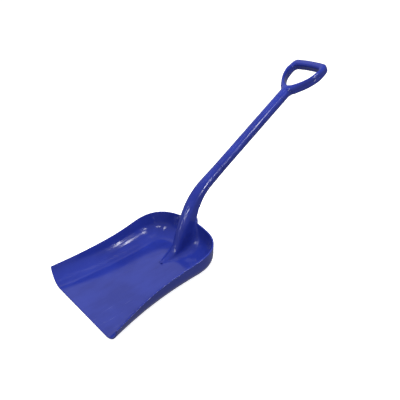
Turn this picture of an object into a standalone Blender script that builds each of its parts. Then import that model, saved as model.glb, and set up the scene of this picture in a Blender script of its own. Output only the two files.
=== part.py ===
"""Grain scoop shovel: a deep blade with a moulded neck, a welded two-shell shaft and a D-grip.

+X is to the right, the cutting edge faces -Y, the handle rises towards +Y, +Z is up.
The origin is on the flat underside of the blade, on the centre line. Metres throughout.
"""

import math

import bmesh
import bpy
import numpy as np

# ---------------------------------------------------------------- blade
EDGE_HALF_WIDTH = 0.171  # corner line of floor and wall, at the cutting edge
WAIST_HALF_WIDTH = 0.1444  # corner line halfway to the shoulder
REAR_HALF_WIDTH = 0.1397  # corner line at the shoulder
BLADE_LENGTH = 0.366  # corner line, from the cutting edge to the heel
BACK_DEPTH = 0.084  # from the shoulder, where the sides turn into the rounded back, to the heel
BACK_SQUARENESS = 2.81  # exponent of the back's superellipse
WALL_HEIGHTS = ((0.0, 0.0426), (0.33, 0.0522), (0.66, 0.0603), (0.86, 0.0674), (1.0, 0.0712))
WALL_LEANS = ((0.0, 0.0138), (0.5, 0.0107), (0.85, 0.0146), (1.0, 0.0118))
BACK_RISE = 0.0063  # how much the lip climbs towards the neck
BACK_RISE_WIDTH = 0.042
EDGE_RAKE = 0.0105  # how far the wall's front end leans back at the lip
RAKE_LENGTH = 0.195
FRONT_FILLET = 0.0364  # tangent length of the fillet between floor and wall
BACK_FILLET = 0.040
BLADE_WALL = 0.0040
EDGE_TURN = 0.060  # length over which the wall's front end turns square to the cutting edge
ORIGIN_FROM_EDGE = 0.150

# ---------------------------------------------------------------- handle centre line, in the plane x = 0
NECK_SETBACK = 0.0024  # how far the centre line starts ahead of the heel
NECK_RISE = 0.0178  # and how far above the lip
NECK_ANGLE = math.radians(53.1)
NECK_STRAIGHT = 0.0189
BEND_RADIUS = 0.1905
SHAFT_ANGLE = math.radians(24.1)
SHAFT_LENGTH = 0.366  # straight run from the bend to the grip
GRIP_ANGLE = math.radians(20.3)
GRIP_BEND = 0.030  # length over which the shaft's angle turns into the grip's
SEAM_AFTER_BEND = 0.060  # where the neck ends and the shaft begins
NECK_RADIUS = 0.0195
SHAFT_RADIUS = 0.0159
TAPER_LENGTH = 0.199

# ---------------------------------------------------------------- ridge, where the neck runs out in the blade
RIDGE_LENGTH = 0.117  # from its tip to the heel
RIDGE_TIP_RADIUS = 0.016
RIDGE_FILLET = 0.028  # at the ridge's foot, halfway along
END_FILLET = 0.006  # and at its tip and the lip
RIDGE_LANDING = math.radians(14.0)  # slope of the ridge's top line at its tip
RIDGE_FULLNESS = 0.58  # pull of the neck's direction on the ridge's top line, as a share of its span
RIDGE_LEVEL = 0.47  # the same for the slope at the tip
WEB_LENGTH = 0.016  # length over which the fillet dies out above the lip
SKIRT_LENGTH = 0.120  # length over which the neck's side walls run out into the parting plane

# ---------------------------------------------------------------- shells, spigots and grip
COVER_WALL = 0.0030
COVER_EDGE = 0.0015  # how far the cover's edge stays inside the line where the ridge's fillet gives it room
COVER_BEVEL = 0.0065
COVER_WIDENS = 0.034  # distance above the lip where the cover comes out to the neck's full width
COVER_START_HEIGHT = 0.012  # ridge height from which there is room for the cover
SHAFT_WALL = 0.0035
SPIGOT_WALL = 0.0026
SPIGOT_LENGTH = 0.100
GRIP_SPIGOT_IN_SHAFT = 0.044
GRIP_SPIGOT_IN_GRIP = 0.026
GRIP_STUB = 0.030  # straight neck of the grip, below its yoke
TONGUE_WIDTH = 0.0007
TONGUE_HEIGHT = 0.0012
GRIP_WALL = 0.0032
GRIP_LENGTH = 0.1264  # shaft end to the crossbar's top corner
GRIP_HALF_WIDTH = 0.0658  # at the crossbar's corner
GRIP_CORNER = 0.0157
YOKE_FLARE, YOKE_RISE = 0.0095, 0.0092
ARM_PULL = (0.0354, 0.0227)  # Bezier points of the arm's outer line, from the middle and the shaft's end
ARM_BULGE = (0.0718, 0.0619)
CROSSBAR_WIDTH = 0.0236
CROSSBAR_BOW = 0.0040
CROTCH = 0.0185  # from the shaft's end to the hand hole
HOLE_PULL = 0.0133
HOLE_BULGE = (0.0563, 0.0456)  # Bezier point of the hand hole's side
HOLE_HALF_WIDTH = 0.0530
HOLE_CORNER = 0.0096
ARM_WIDTH = 0.0196  # twice the distance from an edge over which the shells reach their full depth
ARM_HALF_DEPTH = 0.0159
CROSSBAR_HALF_DEPTH = 0.0135
GRIP_SQUARENESS = 2.9  # exponent of the superellipse across an arm or the crossbar
RISE_SHARE = 0.35  # share of the grip's length over which the yoke's depth turns into the arms'
BAR_SHARE, BAR_TURN = 0.60, 0.25  # where the arms' depth starts to turn into the crossbar's, and over what
GAP = 0.0003  # between pieces that touch

# ---------------------------------------------------------------- how finely the surfaces are cut
PAN_COLUMNS = 30
FLOOR_ROWS = 5
FILLET_ROWS = 4
WALL_ROWS = 3
RIDGE_COLUMNS = 10
FOOT_STEP = 0.02  # share of a ridge section taken by its first face, at the foot
NECK_ROWS = 12
ROUND_STEPS = 14
GRIP_COLUMNS = 26
GRIP_ROWS = 7
ROUND_PULL = 0.55  # a cubic's handles reach this far towards the corner that they round
NORMAL_STEP = 0.004  # share of the pan's outline over which a normal is taken
ROUND_STEP = 0.080  # and over which it is taken for the fillet, which is wider than the back's corners
YOKE_COLUMNS = 5
YOKE_SHARE = 0.06  # share of the hand hole's outline that faces the shaft's end
SHAFT_ROWS = 6
SPIGOT_ROWS = 3

YOKE_REACH = SHAFT_RADIUS + YOKE_FLARE
SHOULDER_Y = BLADE_LENGTH - BACK_DEPTH
RIDGE_TIP_Y = BLADE_LENGTH - RIDGE_LENGTH
NECK_Y, NECK_Z = BLADE_LENGTH - NECK_SETBACK, WALL_HEIGHTS[-1][1] + NECK_RISE
BEND_LENGTH = BEND_RADIUS * (NECK_ANGLE - SHAFT_ANGLE)
SHAFT_START = NECK_STRAIGHT + BEND_LENGTH
SEAM = SHAFT_START + SEAM_AFTER_BEND
SHAFT_END = SHAFT_START + SHAFT_LENGTH
LINE_START, LINE_END = -0.2, SHAFT_END + GRIP_LENGTH + 0.05  # the centre line runs past the handle


def smooth(t):
    """0 to 1 with level ends."""
    t = np.clip(t, 0.0, 1.0)
    return t * t * (3 - 2 * t)


def through(u, points):
    """Cubic Hermite curve through (u, value) points, slopes from their neighbours."""
    knots, values = np.array(points).T
    slopes = np.gradient(values, knots)
    k = np.clip(np.searchsorted(knots, u, side="right") - 1, 0, len(knots) - 2)
    span = knots[k + 1] - knots[k]
    t = np.clip((u - knots[k]) / span, 0.0, 1.0)
    rise = values[k + 1] - values[k]
    start, end = slopes[k] * span, slopes[k + 1] * span
    return values[k] + t * start + t * t * (3 * rise - 2 * start - end) + t**3 * (start + end - 2 * rise)


def bezier(t, points):
    """Cubic Bezier curve at the parameters t."""
    t = np.asarray(t)[:, None]
    p = np.array(points, float)
    return (1 - t) ** 3 * p[0] + 3 * (1 - t) ** 2 * t * p[1] + 3 * (1 - t) * t * t * p[2] + t**3 * p[3]


def resample(line, count, shares=None):
    """The polyline's points at `count` even arc lengths, or at the given shares of its length."""
    steps = np.linalg.norm(np.diff(line, axis=0), axis=1)
    reach = np.concatenate([[0.0], np.cumsum(steps)])
    at = (np.linspace(0, 1, count) if shares is None else shares) * reach[-1]
    return np.stack([np.interp(at, reach, line[:, k]) for k in range(line.shape[1])], axis=1)


# ================================================================ centre line of the handle


def at_origin(points):
    """Moves points measured from the cutting edge and the floor's inner face to the part's origin."""
    return points + np.array([0.0, -ORIGIN_FROM_EDGE, BLADE_WALL])


def centre_line():
    """Arc length, y, z and angle along the handle, as dense arrays."""
    s = np.linspace(LINE_START, LINE_END, 4001)
    knots = [NECK_STRAIGHT, SHAFT_START, SHAFT_END, SHAFT_END + GRIP_BEND]
    angle = np.interp(s, knots, [NECK_ANGLE, SHAFT_ANGLE, SHAFT_ANGLE, GRIP_ANGLE])
    step = s[1] - s[0]
    y = np.concatenate([[0.0], np.cumsum(np.cos((angle[1:] + angle[:-1]) / 2) * step)])
    z = np.concatenate([[0.0], np.cumsum(np.sin((angle[1:] + angle[:-1]) / 2) * step)])
    return s, y - np.interp(0.0, s, y) + NECK_Y, z - np.interp(0.0, s, z) + NECK_Z, angle


LINE = centre_line()


def place(x, s, h):
    """World points from the offset x, the arc length s and the height h above the centre line."""
    x, s, h = np.broadcast_arrays(x, s, h)
    y, z, angle = (np.interp(s, LINE[0], column) for column in LINE[1:])
    return at_origin(np.stack([x, y - h * np.sin(angle), z + h * np.cos(angle)], axis=-1))


def handle_radius(s):
    return SHAFT_RADIUS + (NECK_RADIUS - SHAFT_RADIUS) * (1 - smooth(s / TAPER_LENGTH))


# ================================================================ pan of the blade


def corner_line():
    """Right half of the plan line where floor and wall would meet, front to back, with its normals."""
    u = np.linspace(0, 1, 300, endpoint=False)
    control = 2 * WAIST_HALF_WIDTH - (EDGE_HALF_WIDTH + REAR_HALF_WIDTH) / 2
    side = EDGE_HALF_WIDTH * (1 - u) ** 2 + 2 * control * u * (1 - u) + REAR_HALF_WIDTH * u * u
    a = np.linspace(0, math.pi / 2, 2500)
    power = 2 / BACK_SQUARENESS
    back_x = REAR_HALF_WIDTH * np.maximum(np.cos(a), 0) ** power
    back_y = SHOULDER_Y + (BLADE_LENGTH - SHOULDER_Y) * np.sin(a) ** power
    line = np.stack([np.r_[side, back_x], np.r_[u * SHOULDER_Y, back_y]], axis=1)
    line[-1] = 0.0, BLADE_LENGTH
    return resample(line, 1601)


CORNER = corner_line()


def outward(q, step):
    """The corner line's outward direction at the shares q of the half outline, from its chord.

    The chord reaches a step each way, on into the other half. In front it turns square to the edge.
    """
    ahead = resample(CORNER, 0, 1 - np.abs(1 - q - step))
    ahead[:, 0] *= np.where(q + step > 1, -1.0, 1.0)
    chord = ahead - resample(CORNER, 0, np.maximum(q - step, 0))
    turned = smooth(resample(CORNER, 0, q)[:, 1] / EDGE_TURN)
    normal = np.stack([chord[:, 1], -chord[:, 0] * turned], axis=1)
    return normal / np.linalg.norm(normal, axis=1)[:, None]


def pan_frame(q):
    """Corner point, fillet start, lip and fillet length at the shares q of the half outline."""
    corner = resample(CORNER, 0, q)
    normal, inward = outward(q, NORMAL_STEP), -outward(q, ROUND_STEP)
    share = corner[:, 1] / BLADE_LENGTH
    rise = BACK_RISE * np.exp(-((corner[:, 0] / BACK_RISE_WIDTH) ** 2)) * smooth((share - 0.8) / 0.15)
    lip = corner + normal * through(share, WALL_LEANS)[:, None]
    lip[:, 1] += EDGE_RAKE * (1 - smooth(corner[:, 1] / RAKE_LENGTH))
    lip = np.column_stack([lip, through(share, WALL_HEIGHTS) + rise])
    fillet = FRONT_FILLET + (BACK_FILLET - FRONT_FILLET) * smooth(share)
    start = np.column_stack([corner + inward * fillet[:, None], np.zeros(len(q))])
    return np.column_stack([corner, np.zeros(len(q))]), start, lip, fillet


def pan_wall(q, v):
    """Points of the wall: v 0 at the fillet's start, 0.5 at its end, 1 at the lip. q and v broadcast."""
    q, v = np.broadcast_arrays(q, v)
    corner, start, lip, fillet = pan_frame(q.ravel())
    up = lip - corner
    share = np.clip(fillet / np.linalg.norm(up, axis=1), 0, 0.95)[:, None]
    end = corner + up * share
    t = np.clip(v.ravel() * 2, 0, 1)[:, None]
    near = start + (corner - start) * ROUND_PULL
    far = end + (corner - end) * ROUND_PULL
    curve = (1 - t) ** 3 * start + 3 * (1 - t) ** 2 * t * near + 3 * (1 - t) * t * t * far + t**3 * end
    points = curve + (lip - end) * np.clip(v.ravel() * 2 - 1, 0, 1)[:, None]
    return points.reshape(q.shape + (3,))


WALL_V = np.r_[np.linspace(0, 0.5, FILLET_ROWS + 1), 0.5 + 0.5 * np.linspace(0, 1, WALL_ROWS + 1)[1:]]


# ================================================================ ridge and neck


def section(height, radius, fillet, share):
    """Half section of the ridge over a base line, from its foot (share 0) to its top (share 1).

    A fillet rises from the base into a straight wall, or straight into the round top
    where the ridge is low. Returns x and the height above the base.
    """
    height, radius, fillet, share = np.broadcast_arrays(height, radius, fillet, share)
    centre = height - radius
    tall = centre >= fillet
    reach = radius + fillet
    low = np.sqrt(np.maximum(reach**2 - (fillet - centre) ** 2, 0))
    foot = np.where(tall, reach, low)
    lean = np.where(tall, 0.0, np.arctan2(fillet - centre, np.maximum(low, 1e-9)))
    bottom = fillet * (math.pi / 2 - lean)
    wall = np.where(tall, centre - fillet, 0.0)
    top = radius * (math.pi / 2 - lean)
    run = share * (bottom + wall + top)
    a = np.minimum(run, bottom) / np.maximum(fillet, 1e-9)
    x_fillet, h_fillet = foot - fillet * np.sin(a), fillet - fillet * np.cos(a)
    rise = np.clip(run - bottom, 0, wall)
    b = lean + np.maximum(run - bottom - wall, 0) / radius
    x_top, h_top = radius * np.cos(b), centre + radius * np.sin(b)
    on_fillet, on_top = run < bottom, run > bottom + wall
    x = np.where(on_fillet, x_fillet, np.where(on_top, x_top, radius))
    h = np.where(on_fillet, h_fillet, np.where(on_top, h_top, fillet + rise))
    return x, h, foot


def ridge_rows():
    """Ridge sections from the tip to the lip: base and top points (y, z), share of the way, lip station."""
    wall = pan_wall(np.ones(len(WALL_V)), WALL_V)[:, 1:]
    turn = np.linspace(0, 1, FLOOR_ROWS + 1)[:-1] ** 1.35
    floor = np.column_stack([RIDGE_TIP_Y + (wall[0, 0] - RIDGE_TIP_Y) * turn, np.zeros(FLOOR_ROWS)])
    base = np.vstack([floor, wall])
    reach = (wall[-1] - [NECK_Y, NECK_Z]) @ [math.cos(NECK_ANGLE), math.sin(NECK_ANGLE)]
    top_end = (place(0.0, reach, handle_radius(reach)) - at_origin(np.zeros(3)))[1:]
    span = np.linalg.norm(top_end - base[0])
    down = np.array([math.cos(NECK_ANGLE), math.sin(NECK_ANGLE)]) * span * RIDGE_FULLNESS
    level = np.array([math.cos(RIDGE_LANDING), math.sin(RIDGE_LANDING)]) * span * RIDGE_LEVEL
    top = bezier(np.linspace(0, 1, 400), [base[0], base[0] + level, top_end - down, top_end])
    length = np.r_[0.0, np.cumsum(np.linalg.norm(np.diff(base, axis=0), axis=1))]
    return base, resample(top, 0, length / length[-1]), length / length[-1], reach


BASE, TOP, ALONG, LIP_STATION = ridge_rows()
BASE_RADIUS = RIDGE_TIP_RADIUS + (handle_radius(LIP_STATION) - RIDGE_TIP_RADIUS) * smooth(ALONG)
BASE_FILLET = END_FILLET + (RIDGE_FILLET - END_FILLET) * 4 * ALONG * (1 - ALONG)
DEPTH_AT_LIP = np.linalg.norm(TOP[-1] - BASE[-1]) - handle_radius(LIP_STATION)
NECK_STATIONS = LIP_STATION + (SEAM - GAP / 2 - LIP_STATION) * np.linspace(0, 1, NECK_ROWS + 1)[1:] ** 1.15


def q_at_width(x, v):
    """The share of the outline whose wall point at v has this x, near the centre of the back."""
    q = np.linspace(0.7, 1.0, 241)
    widths = pan_wall(q, np.full(len(q), v))[:, 0]
    return np.interp(-x, -widths, q)


def ridge_half():
    """Right half of the ridge and neck as a grid: rows from the tip to the seam, columns foot to top."""
    share = np.r_[0, np.linspace(FOOT_STEP, 1, RIDGE_COLUMNS)][None, :]
    height = np.linalg.norm(TOP - BASE, axis=1)[:, None]
    x, h, foot = section(height, BASE_RADIUS[:, None], BASE_FILLET[:, None], share)
    up = (TOP - BASE) / np.maximum(height, 1e-9)
    points = np.stack([x, BASE[:, :1] + h * up[:, :1], BASE[:, 1:] + h * up[:, 1:]], axis=-1)
    points[0] = 0.0, BASE[0, 0], 0.0
    feet = points[:, 0].copy()
    q_foot = np.ones(len(BASE))
    for i in range(len(WALL_V)):
        row = FLOOR_ROWS + i
        q_foot[row] = q_at_width(foot[row, 0], WALL_V[i])
        feet[row] = pan_wall(q_foot[row : row + 1], WALL_V[i : i + 1])[0]
    fade = 1 - smooth(share / 0.6)
    points += (feet - points[:, 0])[:, None, :] * fade[..., None]
    s = NECK_STATIONS[:, None]
    skirt = DEPTH_AT_LIP * (1 - smooth((s - LIP_STATION) / SKIRT_LENGTH))
    fillet = END_FILLET * (1 - smooth((s - LIP_STATION) / WEB_LENGTH)) + 1e-5
    neck_radius = handle_radius(s)
    x, h, _ = section(skirt + neck_radius, neck_radius, np.minimum(fillet, skirt + 1e-5), share)
    neck = place(x, s, h - skirt)
    return np.concatenate([at_origin(points), neck]), at_origin(feet), q_foot


def pan_half(feet, q_foot):
    """Right half of the pan as a grid: columns round the outline, rows from the floor to the lip.

    The columns of the front part start on the centre line. The rear ones fan out from
    the ridge's tip, and the last one follows the ridge's foot.
    """
    lip_foot = q_foot[-1]
    q = lip_foot * np.linspace(0, 1, PAN_COLUMNS + 1)
    start = pan_wall(q, np.zeros(len(q)))
    q_turn = np.interp(RIDGE_TIP_Y, start[:, 1], q)
    fan = np.clip((q - q_turn) / (lip_foot - q_turn), 0, 1)
    pull = fan**2
    q_wall = q[:, None] + pull[:, None] * (q_foot[FLOOR_ROWS:] - lip_foot)[None, :]
    wall = at_origin(pan_wall(q_wall, WALL_V[None, :]))
    inner = wall[:, 0].copy()
    inner[:, 0] = 0.0
    inner[:, 1] = np.minimum(inner[:, 1], feet[0, 1])
    share = np.linspace(0, 1, FLOOR_ROWS + 1)[:-1]
    floor = inner[:, None] + (wall[:, 0] - inner)[:, None] * share[None, :, None]
    drift = feet[:FLOOR_ROWS] - floor[-1]
    floor += pull[:, None, None] * drift[None]
    return np.concatenate([floor, wall], axis=1)


# ================================================================ objects


def clear_scene():
    for item in list(bpy.data.objects):
        bpy.data.objects.remove(item, do_unlink=True)


def plastic(name, colour, roughness):
    material = bpy.data.materials.new(name)
    material.use_nodes = True
    shader = material.node_tree.nodes["Principled BSDF"]
    shader.inputs["Base Color"].default_value = (*colour, 1.0)
    shader.inputs["Roughness"].default_value = roughness
    shader.inputs["Metallic"].default_value = 0.0
    return material


def grid_faces(mesh, points, flip):
    """Adds a grid of points, and the quads between them, to the bmesh."""
    rows, columns = points.shape[:2]
    verts = [mesh.verts.new(tuple(p)) for p in points.reshape(-1, 3)]
    for i in range(rows - 1):
        for j in range(columns - 1):
            a, b = i * columns + j, (i + 1) * columns + j
            corners = [verts[a], verts[a + 1], verts[b + 1], verts[b]]
            mesh.faces.new(corners[::-1] if flip else corners)


def finish_mesh(name, mesh, material, angle=40.0):
    """Turns the bmesh into a smooth-shaded object in the scene."""
    bmesh.ops.remove_doubles(mesh, verts=mesh.verts, dist=1e-6)
    bmesh.ops.dissolve_degenerate(mesh, edges=mesh.edges, dist=1e-7)
    data = bpy.data.meshes.new(name)
    mesh.to_mesh(data)
    mesh.free()
    data.shade_smooth()
    data.set_sharp_from_angle(angle=math.radians(angle))
    data.materials.append(material)
    item = bpy.data.objects.new(name, data)
    bpy.context.collection.objects.link(item)
    return item


def face_outwards(mesh):
    """Turns the faces of a closed body to one side, and then to the outside."""
    bmesh.ops.recalc_face_normals(mesh, faces=mesh.faces)
    if mesh.calc_volume(signed=True) < 0:
        bmesh.ops.reverse_faces(mesh, faces=mesh.faces)


def shell(name, outer, inner, material):
    """A closed body between two skins, each a list of grids that line up point for point.

    Points of the outer skin that coincide are welded, and the inner ones with them. Every
    open edge of the outer skin gets a rim to the inner skin.
    """
    points = np.concatenate([grid.reshape(-1, 3) for grid in outer])
    inside = np.concatenate([grid.reshape(-1, 3) for grid in inner])
    _, first, index = np.unique(np.round(points, 6), axis=0, return_index=True, return_inverse=True)
    index = index.reshape(-1)
    faces, offset = [], 0
    for grid in outer:
        rows, columns = grid.shape[:2]
        at = offset + np.arange(rows * columns).reshape(rows, columns)
        quads = np.stack([at[:-1, :-1], at[:-1, 1:], at[1:, 1:], at[1:, :-1]], axis=-1).reshape(-1, 4)
        faces.append(index[quads])
        offset += rows * columns
    faces = np.concatenate(faces)
    count = len(first)
    edges = np.stack([faces, np.roll(faces, -1, axis=1)], axis=-1).reshape(-1, 2)
    edges = edges[edges[:, 0] != edges[:, 1]]
    used = {tuple(edge) for edge in edges.tolist()}
    rims = [(b, a, a + count, b + count) for a, b in used if (b, a) not in used]
    loops = [list(dict.fromkeys(face)) for face in faces.tolist()]
    loops += [[i + count for i in reversed(loop)] for loop in loops] + sorted(rims)
    mesh = bmesh.new()
    verts = [mesh.verts.new(tuple(p)) for p in np.concatenate([points[first], inside[first]])]
    for loop in loops:
        if len(loop) > 2:
            mesh.faces.new([verts[i] for i in loop])
    bmesh.ops.remove_doubles(mesh, verts=mesh.verts, dist=1e-6)
    face_outwards(mesh)
    return finish_mesh(name, mesh, material)


def swept(name, outlines, stations, material):
    """A closed outline carried along the centre line: outlines holds (x, h) for each station."""
    mesh = bmesh.new()
    points = place(outlines[..., 0], stations[:, None], outlines[..., 1])
    rings = [[mesh.verts.new(tuple(p)) for p in ring] for ring in points]
    for low, high in zip(rings, rings[1:]):
        for i in range(len(low)):
            k = (i + 1) % len(low)
            mesh.faces.new([low[i], low[k], high[k], high[i]])
    ends = [mesh.faces.new(rings[0][::-1]), mesh.faces.new(rings[-1])]
    bmesh.ops.triangulate(mesh, faces=ends, ngon_method="EAR_CLIP")
    face_outwards(mesh)
    return finish_mesh(name, mesh, material)


def build_blade(material):
    """Pan, ridge and the front half of the neck: one moulded skin of even thickness."""
    ridge, feet, q_foot = ridge_half()
    pan = pan_half(feet, q_foot)
    mirror = np.array([-1.0, 1.0, 1.0])
    mesh = bmesh.new()
    grid_faces(mesh, pan, False)
    grid_faces(mesh, pan * mirror, True)
    grid_faces(mesh, ridge, True)
    grid_faces(mesh, ridge * mirror, False)
    blade = finish_mesh("blade", mesh, material)
    wall = blade.modifiers.new("wall", "SOLIDIFY")
    wall.thickness = BLADE_WALL
    wall.offset = -1.0
    wall.use_even_offset = True
    wall.use_quality_normals = True
    return blade


def build_neck_cover(material):
    """Rear shell of the neck. It closes the hollow behind the ridge and runs out under the blade."""
    height = np.linalg.norm(TOP - BASE, axis=1)
    first = int(np.argmax(height > COVER_START_HEIGHT))
    foot = section(height, BASE_RADIUS, BASE_FILLET, 0.0)[2][first:, None]
    run = np.gradient(BASE, axis=0)[first:]
    run /= np.linalg.norm(run, axis=1)[:, None]
    out = np.column_stack([run[:, 1], -run[:, 0]])
    round_off = np.linspace(0, math.pi, ROUND_STEPS + 1)[None, :]
    inside = handle_radius(LIP_STATION) - BLADE_WALL - 2 * GAP
    near_lip = smooth((np.arange(len(foot)) - len(foot) + 3) / 2)[:, None]
    fillet = BASE_FILLET[first:, None]
    plates = []
    for up, bevel in ((0.0, 0.0), (COVER_WALL, COVER_BEVEL)):
        depth, rise = BLADE_WALL - up, up + 2 * GAP
        wide = foot - COVER_EDGE - np.sqrt(rise * (2 * fillet - rise))
        x = (wide * (1 - near_lip) + (inside - bevel) * near_lip) * np.cos(round_off)
        line = BASE[first:] + out * depth
        flat = np.broadcast_to(line[:, None], x.shape + (2,))
        plates.append(at_origin(np.concatenate([x[..., None], flat], axis=-1)))
    s = NECK_STATIONS[:, None]
    skirt = DEPTH_AT_LIP * (1 - smooth((s - LIP_STATION) / SKIRT_LENGTH))
    inset = (BLADE_WALL + 2 * GAP) * (1 - smooth((s - LIP_STATION - COVER_WIDENS) / WEB_LENGTH))
    bulge = handle_radius(s) - skirt
    edge = -skirt - GAP
    outer = place((handle_radius(s) - inset) * np.cos(round_off), s, edge - bulge * np.sin(round_off))
    hollow = np.maximum(bulge - COVER_WALL, 0.0)
    inner_x = (handle_radius(s) - inset - COVER_WALL) * np.cos(round_off)
    inner = place(inner_x, s, edge - hollow * np.sin(round_off))
    outer = np.concatenate([plates[0], outer])
    inner = np.concatenate([plates[1], inner])
    return shell("neck_rear_cover", [outer], [inner], material)


def half_ring(radius, side, tongue):
    """Closed outline of a half shell at each radius: side 1 in front, -1 behind.

    Its rims carry a tongue, or a groove that takes the tongue with a gap all round.
    """
    a = np.linspace(0, math.pi, ROUND_STEPS + 1)
    middle = radius - SHAFT_WALL / 2
    half = TONGUE_WIDTH / 2 + (0 if tongue else GAP)
    deep = -TONGUE_HEIGHT if tongue else TONGUE_HEIGHT + GAP
    rim = [(middle + half, 0.0), (middle + half, deep), (middle - half, deep), (middle - half, 0.0)]
    outer = [(radius * math.cos(t), radius * math.sin(t)) for t in a]
    inner = [((radius - SHAFT_WALL) * math.cos(t), (radius - SHAFT_WALL) * math.sin(t)) for t in a[::-1]]
    left = [(-x, h) for x, h in rim]
    outline = np.array(outer + left + inner + rim[::-1])
    return outline * [1, side] + [0, side * GAP / 2]


def build_shaft_shell(name, side, tongue, material):
    """One half of the shaft's tube, from the neck's seam to the grip's stub."""
    stations = np.linspace(SEAM + GAP / 2, SHAFT_END - GRIP_STUB - GAP / 2, SHAFT_ROWS + 1)
    outlines = np.array([half_ring(handle_radius(s), side, tongue) for s in stations])
    return swept(name, outlines, stations, material)


def build_spigot(name, start, seam, end, walls, material):
    """A tube inside the shells that carries the joint across a seam.

    It stays a gap clear of the walls before and after the seam, with a step where they differ.
    """
    step = seam + GAP / 2
    stations = np.r_[np.linspace(start, step, SPIGOT_ROWS + 1), np.linspace(step, end, SPIGOT_ROWS + 1)]
    a = np.linspace(0, 2 * math.pi, 2 * ROUND_STEPS + 1)
    wall_outside = np.repeat(walls, SPIGOT_ROWS + 1)
    radius = (handle_radius(stations) - wall_outside - GAP)[:, None]
    outer = place(radius * np.cos(a), stations[:, None], radius * np.sin(a))
    radius = radius - SPIGOT_WALL
    inner = place(radius * np.cos(a), stations[:, None], radius * np.sin(a))
    return shell(name, [outer], [inner], material)


# ================================================================ grip


def loop(side, half_width, top, corner):
    """Points (x, l) out along an arm, round the corner and back along the crossbar to the middle.

    side holds the arm's first three Bezier points. The corner starts at half_width.
    """
    start, bulge = np.array([half_width, top - corner]), np.array(side[-1])
    x = np.linspace(half_width - corner, 0, 12)
    bar = np.column_stack([x, top + CROSSBAR_BOW * (1 - (x / half_width) ** 2)])
    ahead = (start - bulge) / np.linalg.norm(start - bulge)
    handles = [start + ahead * corner * ROUND_PULL, bar[0] + [corner * ROUND_PULL, 0.0]]
    turn = bezier(np.linspace(0, 1, 12)[1:-1], [start, *handles, bar[0]])
    return np.vstack([bezier(np.linspace(0, 1, 40), [*side, start]), turn, bar])


def grip_outlines():
    """Right halves of the grip's outer line and of its hand hole, in the grip's plane (x, l).

    l is measured from the end of the shaft's straight part, along the centre line.
    """
    foot, pull = np.array([YOKE_REACH, YOKE_RISE]), np.array(ARM_PULL)
    handle = foot - (pull - foot) / np.linalg.norm(pull - foot) * YOKE_RISE * ROUND_PULL
    flare = [(SHAFT_RADIUS, 0), (SHAFT_RADIUS, YOKE_RISE / 2), handle, foot]
    outer = loop([foot, pull, ARM_BULGE], GRIP_HALF_WIDTH, GRIP_LENGTH, GRIP_CORNER)
    side = [(0, CROTCH), (HOLE_PULL, CROTCH), HOLE_BULGE]
    inner = loop(side, HOLE_HALF_WIDTH, GRIP_LENGTH - CROSSBAR_WIDTH, HOLE_CORNER)
    return np.vstack([bezier(np.linspace(0, 1, 16)[:-1], flare), outer]), inner


def offset_line(line, distance):
    """The line moved sideways, to its left as it runs, with its ends kept on the centre plane."""
    dense = resample(line, 400)
    tangent = np.gradient(dense, axis=0)
    tangent /= np.linalg.norm(tangent, axis=1)[:, None]
    return dense + np.column_stack([-tangent[:, 1], tangent[:, 0]]) * distance


def distance_to(points, lines):
    """Distance of each point to the nearest of the lines' sampled points."""
    flat = points.reshape(-1, 2)
    samples = np.concatenate([resample(line, 500) for line in lines])
    away = np.linalg.norm(flat[:, None] - samples[None], axis=-1).min(axis=1)
    return away.reshape(points.shape[:-1])


def grip_height(points, inset):
    """Half depth of the grip over its middle plane, less the inset all round."""
    outer, inner = grip_outlines()
    stub = np.column_stack([[SHAFT_RADIUS, SHAFT_RADIUS], [-GRIP_STUB, 0.0]])
    side = np.vstack([stub[:1], outer])
    mirror = np.array([-1.0, 1.0])
    away = distance_to(points, [side, side * mirror, inner, inner * mirror])
    l = points[..., 1]
    rise = smooth(l / (RISE_SHARE * GRIP_LENGTH))
    end = smooth((l / GRIP_LENGTH - BAR_SHARE) / BAR_TURN)
    half = SHAFT_RADIUS + (ARM_HALF_DEPTH - SHAFT_RADIUS) * rise
    half += (CROSSBAR_HALF_DEPTH - ARM_HALF_DEPTH) * end
    arm, bar = ARM_WIDTH / 2, CROSSBAR_WIDTH / 2
    width = SHAFT_RADIUS + (arm - SHAFT_RADIUS) * rise + (bar - arm) * end
    share = np.clip((away - inset) / (width - inset), 0, 1)
    return (half - inset) * (1 - (1 - share) ** GRIP_SQUARENESS) ** (1 / GRIP_SQUARENESS)


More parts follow.
